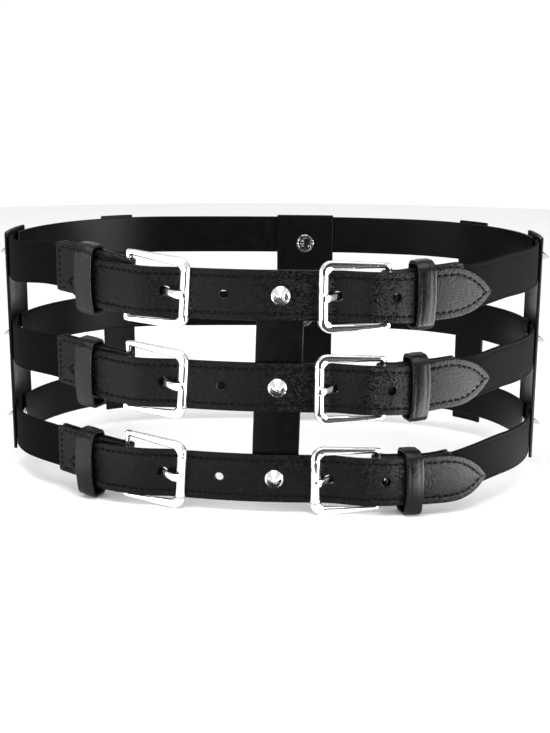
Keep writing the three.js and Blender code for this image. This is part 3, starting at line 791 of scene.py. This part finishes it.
def roller(side, row):
    """The tube on the far bar."""
    end, r, bore = ROLLER["length"] / 2, ROLLER["radius"], ROLLER["bore"]
    profile = [(bore, 0.2 - end), (bore + 0.15, -end), (r - 0.25, -end)]
    profile += [(r - 0.05, 0.08 - end), (r, 0.3 - end)]
    profile += [(r, y) for y in np.linspace(-end + 2, end - 2, 8)]
    profile += [(q, -y) for q, y in reversed(profile[:5])]
    points = turned_points(profile, 28)
    points = np.stack([points[..., 0] + FRAME["far_bar"], points[..., 2], points[..., 1]], -1)
    name = mark(side, row)
    piece = loft(f"metal_roller_{name}", in_buckle(points, side, row), CHROME, closed=True, sharp=METAL_SHARP)
    place_piece(piece, "hardware", f"roller_{name}")


def cut_corners(points, share, times):
    """Rounds the corners of a path."""
    points = np.asarray(points, float)
    for _ in range(times):
        ahead = points[:-1] + (points[1:] - points[:-1]) * share
        behind = points[1:] - (points[1:] - points[:-1]) * share
        points = np.vstack([points[:1], np.stack([ahead, behind], 1).reshape(-1, 2)[1:-1], points[-1:]])
        share = 0.25
    return points


def tongue(side, row):
    """The prong, up through the billet's hole and onto the roller."""
    path = cut_corners(TONGUE_ROOT + side["climb"] + TONGUE_END, 0.16, 3)
    s = np.concatenate([[0], np.cumsum(np.linalg.norm(np.diff(path, axis=0), axis=1))])
    total, blunt = s[-1], 2.2
    last = total - blunt + blunt * np.sin(np.radians([20, 40, 55, 70, 80, 87]))
    at = np.concatenate([np.linspace(0, total - blunt, 44), last])
    path = np.stack([np.interp(at, s, path[:, i]) for i in range(2)], 1)
    tangent = np.gradient(path, axis=0)
    tangent /= np.linalg.norm(tangent, axis=1, keepdims=True)
    normal = np.stack([-tangent[:, 1], tangent[:, 0]], 1)
    end = np.clip((total - at) / blunt, 0, 1)
    cap = np.sqrt(np.clip(1 - (1 - end) ** 2, 0.01, 1))
    width = (TONGUE["width"] / 2 - 0.25 * at / total) * cap
    thick = TONGUE["half"] * np.minimum(1, cap * 1.1) * np.where(end < 1, 0.6 + 0.4 * end, 1)
    t = np.linspace(0, 2 * np.pi, 21)[:-1]
    c, q = squared(t, np.cos, 0.7), squared(t, np.sin, 0.8)
    across = width[:, None] * c[None]
    off = thick[:, None] * q[None]
    along = path[:, None, 0] + normal[:, None, 0] * off
    out = path[:, None, 1] + normal[:, None, 1] * off
    rings = in_side(side, along, across, out, row)
    name = mark(side, row)
    prong = loft(f"metal_tongue_{name}", rings, CHROME, sharp=METAL_SHARP)
    place_piece(prong, "hardware", f"tongue_{name}")
    # The ring that the prong ends in, round the pivot bar
    wall = (TONGUE["ring"] - PIVOT_BORE) / 2
    middle = PIVOT_BORE + wall
    turns = np.linspace(0, 2 * np.pi, 33)[:-1]
    r = middle + wall * q[None]
    along, out = r * np.cos(turns)[:, None], r * np.sin(turns)[:, None]
    rings = in_side(side, along, TONGUE["width"] / 2 * c[None] + 0 * r, out, row)
    place_piece(loft(f"metal_tongue_ring_{name}", rings, CHROME, closed=True, sharp=METAL_SHARP), "hardware")


def elastic(side, row):
    """The ribbed elastic between a side strap and a buckle strap."""
    inside = side["tab_end"] + side["toward"] * ELASTIC["in_chape"]
    low, high = sorted((side["elastic_end"], inside))
    places = stations(low, high, 0.28)
    half = ELASTIC["width"] / 2

    def point(p, a, v):
        rib = 0.035 * np.sin(2 * np.pi * p / 1.15) * (np.abs(a) < half - 1.9)
        return on_row(p, a, v + np.sign(v) * rib * (np.abs(v) > ELASTIC["thick"] * 0.4), row)

    def relief(inset):
        return -0.22 * np.exp(-(((inset - 1.75) / 0.3) ** 2)) + (0.05 if inset < 1.5 else 0)

    rings, uv = strap_rings(places, straight_edges(half), [0.5, 1.0, 1.5, 1.75, 2.0, 3.5, 5.5, 8],
                            ELASTIC["thick"], point, 0.5, relief)
    name = mark(side, row)
    place_piece(loft(f"woven_elastic_{name}", rings, WEAVE, uv=uv, sharp=60), "elastic", f"elastic_{name}")


PLAIN_INSETS = [0.6, 1.2, 2.5, 5, 8]


def back_band(row):
    """The band round the back, from one side strap to the other."""
    ends = [u["place"] for u in UPRIGHTS if u["name"].startswith("strap_side")]
    places = stations(ends[0] + BAND["inset"], ends[1] - BAND["inset"], 3)
    rings, uv = strap_rings(places, straight_edges(BAND["width"] / 2), PLAIN_INSETS, BAND["thick"],
                            lambda p, a, v: on_row(p, a, v, row), 0.6)
    place_piece(loft(f"smooth_band_{row['name']}", rings, SMOOTH, uv=uv), "band", f"back_band_{row['name']}")


def upright(u):
    """A strap across the three rows."""
    crossed = BILLET if u["name"] == "strap_front" else ELASTIC
    middle = (crossed["thick"] / 2 + GAP + UPRIGHT_THICK / 2) * (-1 if u["inside"] else 1)
    low = ROWS[2]["level"] - crossed["width"] / 2 - u["below"]
    high = ROWS[0]["level"] + crossed["width"] / 2 + u["above"]
    levels = stations(low, high, 5)

    # Each level of the strap lies at its own height of the loop, so that it leans as the rows do
    def point(level, across, v):
        flat = []
        for k in range(level.shape[0]):
            here = {"level": float(level[k, 0]), "lift": (0, 0)}
            side = u["place"] + across[k]
            flat.append(on_row(side, 0, middle + v[k], here))
        return np.stack(flat)

    rings, uv = strap_rings(levels, straight_edges(u["width"] / 2), PLAIN_INSETS, UPRIGHT_THICK, point, 0.6)
    place_piece(loft(f"leather_{u['name']}", rings, SMOOTH, uv=uv), "leather", u["name"])


def turned_on_row(name, profile, place, row, up, node, material):
    """Turned metal that stands out from the loop."""
    points = turned_points(profile, 40)
    point, out = row_frame(place, row)
    along = np.array([-out[0, 1], out[0, 0], 0])
    rise = np.array([0, 0, 1.0])
    where = points[..., 0:1] * along + (points[..., 1:2] + up) * rise + points[..., 2:3] * out[0] + point[0]
    place_piece(loft(name, where * MM, material, sharp=35), "hardware", node)


def stud(name, place, row, inner, outer):
    """A cone stud, with its post and the cap inside."""
    r, rim, h = STUD["radius"], STUD["rim"], STUD["height"]
    base, peak = outer + rim + 0.12, outer + rim + h
    head = [(r - 0.15, outer), (r, outer + 0.2), (r, outer + 0.45)]
    head += [(r - 0.2, outer + rim * 0.85), (r - 0.55, base)]
    head += [((r - 0.55) * (1 - t), base + (h - 0.35) * t) for t in (0.25, 0.5, 0.75, 0.9)]
    head += [(0.22, peak - 0.16), (0.1, peak - 0.05), (0.02, peak)]
    cap, thick = STUD["cap"], STUD["cap_thick"]
    foot = [(0.05, inner - thick), (cap * 0.6, inner - thick), (cap - 0.4, inner - thick * 0.8),
            (cap, inner - thick * 0.4), (cap, inner), (STUD["post"], inner), (STUD["post"], outer)]
    turned_on_row(f"metal_{name}", foot + head, place, row, 0, name, CHROME)


def rivet(row, inner, outer):
    """A domed rivet of the back strap, seen from inside the loop."""
    r, rim, dome = RIVET["radius"], RIVET["rim"], RIVET["dome"]
    post, cap = STUD["post"], STUD["cap"]
    head = [(post, outer), (cap, outer), (cap, outer + rim / 2)]
    head += [(cap * 0.8, outer + rim), (0.05, outer + rim)]
    domed = [(0.05, inner - dome - rim / 2), (r * 0.3, inner - dome - rim * 0.4), (r * 0.55, inner - dome),
             (r * 0.68, inner - rim), (r * 0.74, inner - rim * 0.55), (r * 0.82, inner - rim * 0.8),
             (r * 0.92, inner - rim * 0.9), (r, inner - rim * 0.5), (r, inner), (post, inner)]
    place = next(u["place"] for u in UPRIGHTS if u["name"] == "strap_back")
    node = f"rivet_{row['name']}"
    turned_on_row(f"metal_{node}", domed + head, place, row, -RIVET["below"], node, SMOKED)


BEHIND_BILLET = -(BILLET["thick"] / 2 + UPRIGHT_THICK + 2 * GAP)
LAYER_FACE = BAND["thick"] / 2 + GAP
STRAP_FACE = LAYER_FACE + UPRIGHT_THICK + GAP
SIDE_STRAPS = {u["name"].split("_")[-1]: u["place"] for u in UPRIGHTS if u["name"].startswith("strap_side")}

for row in ROWS:
    billet(row)
    back_band(row)
    for side in SIDES:
        elastic(side, row)
        chape(side, row)
        keeper(side, row)
        buckle_frame(side, row)
        roller(side, row)
        tongue(side, row)
    stud(f"stud_{row['name']}_front", 0, row, BEHIND_BILLET, BILLET["thick"] / 2 + GAP)
    for hand in ("right", "left"):
        stud(f"stud_{row['name']}_{hand}", SIDE_STRAPS[hand], row, -LAYER_FACE, STRAP_FACE)
    rivet(row, -STRAP_FACE, LAYER_FACE)
for u in UPRIGHTS:
    upright(u)


# Stage: a pale floor and, seen by reflections alone, the dark cards and soft boxes of a studio
def sheet(name, profile, count, sweep, material, middle=0.0):
    """A profile of reach and height in metres, swept round the belt both ways from an angle off its front."""
    profile = np.array(profile, float)
    t = middle + np.linspace(-sweep, sweep, count) - np.pi / 2
    points = np.stack([profile[:, None, 0] * np.cos(t), profile[:, None, 0] * np.sin(t),
                       np.repeat(profile[:, 1:2], count, 1)], -1)
    index = np.arange(points.shape[0] * count).reshape(-1, count)
    faces = np.stack([index[:-1, :-1], index[:-1, 1:], index[1:, 1:], index[1:, :-1]], -1).reshape(-1, 4)
    piece = finish_mesh(name, points, faces.tolist(), material, sharp=80)
    return piece


STAGE_EDGE, STAGE_COUNT = 1.3, 97
sheet("studio_floor", [(0.001, 0), (0.5, 0), (1, 0), (STAGE_EDGE, 0)], STAGE_COUNT, np.pi,
      plain_noise("pale_floor", (0.9, 0.9, 0.9), (0.93, 0.93, 0.93), 0.75, 0.01))
DARK = plain_noise("dark_card", (0.01, 0.01, 0.01), (0.014, 0.014, 0.014), 0.9, 0.01)
FRONT_CARD = [(0.15, 0.003), (0.5, 0.003), (1.1, 0.003), (1.2, 0.03), (1.25, 0.1), (1.28, 0.6)]
SIDE_CARD = [(0.55, 0.002), (0.8, 0.002), (0.85, 0.1), (0.86, 0.5)]
SOFT_BOX = [(0.15, 0.003), (0.6, 0.003), (0.75, 0.05), (0.8, 0.3)]


def glow(name, strength):
    """Even white light."""
    material, _, bsdf = tree_of(name)
    bsdf.inputs["Base Color"].default_value = (0, 0, 0, 1)
    bsdf.inputs["Emission Color"].default_value = (1, 1, 1, 1)
    bsdf.inputs["Emission Strength"].default_value = strength
    return material


for name, profile, middle, sweep, material in (
        ("studio_card_front", FRONT_CARD, 12, 19, DARK),
        ("studio_card_left", SIDE_CARD, -140, 18, DARK),
        ("studio_card_right", SIDE_CARD, 145, 15, DARK),
        ("studio_box_right", SOFT_BOX, 60, 28, glow("shine_right", 14)),
        ("studio_box_left", SOFT_BOX, -41, 32, glow("shine_left", 2.8))):
    card = sheet(name, profile, 25, np.radians(sweep), material, np.radians(middle))
    card.visible_camera = card.visible_diffuse = card.visible_shadow = False

# The white backdrop is seen by the camera alone and lights nothing
BACKDROP = [(STAGE_EDGE, 0), (STAGE_EDGE, 1), (STAGE_EDGE, 2), (1, 3), (0.01, 3.5)]
backdrop = sheet("studio_backdrop", BACKDROP, STAGE_COUNT, np.pi, glow("white_backdrop", 1.0))
backdrop.visible_diffuse = backdrop.visible_glossy = backdrop.visible_shadow = False


def area_light(name, place, target, size, power):
    data = bpy.data.lights.new(name, "AREA")
    data.shape = "RECTANGLE"
    data.size, data.size_y = size
    data.energy = power
    lamp = bpy.data.objects.new(name, data)
    bpy.context.scene.collection.objects.link(lamp)
    lamp.location = place
    lamp.rotation_euler = (Vector(target) - Vector(place)).to_track_quat("-Z", "Y").to_euler()
    lamp.visible_camera = False


area_light("light_top", (-0.1, -0.35, 1.35), (0, 0, 0.05), (1.1, 0.7), 13)
area_light("light_right", (0.8, -0.62, 0.19), (0.1, 0, 0.05), (0.6, 0.36), 8)
area_light("light_left", (-0.8, -0.75, 0.4), (0, 0, 0.07), (0.3, 0.5), 4)

world = bpy.data.worlds.new("studio")
bpy.context.scene.world = world
world.use_nodes = True
sky = world.node_tree.nodes["Background"]
sky.inputs["Color"].default_value = (1, 1, 1, 1)
sky.inputs["Strength"].default_value = 0.8
bpy.context.scene.view_settings.view_transform = "Standard"

# The camera: the photograph's angle, found from the belt's own sizes
EYE = (ORIGIN + np.array([26.65, -680.5, 151.4])) * MM
YAW, PITCH, ROLL = 0.04633, 0.2401, 0.004436
FOCAL_PIXELS, IMAGE_HEIGHT, SENSOR = 1269, 733, 36
forward = Vector((-np.sin(YAW) * np.cos(PITCH), np.cos(YAW) * np.cos(PITCH), -np.sin(PITCH)))
right = Vector((np.cos(YAW), np.sin(YAW), 0))
up = right.cross(forward)
rolled_right = right * np.cos(ROLL) + up * np.sin(ROLL)
rolled_up = up * np.cos(ROLL) - right * np.sin(ROLL)
data = bpy.data.cameras.new("camera")
data.sensor_width = SENSOR
data.lens = FOCAL_PIXELS * SENSOR / IMAGE_HEIGHT
camera = bpy.data.objects.new("camera", data)
bpy.context.scene.collection.objects.link(camera)
turn = Matrix((rolled_right, rolled_up, -forward)).transposed().to_4x4()
camera.matrix_world = Matrix.Translation(Vector(EYE)) @ turn
bpy.context.scene.camera = camera

bpy.context.view_layer.update()
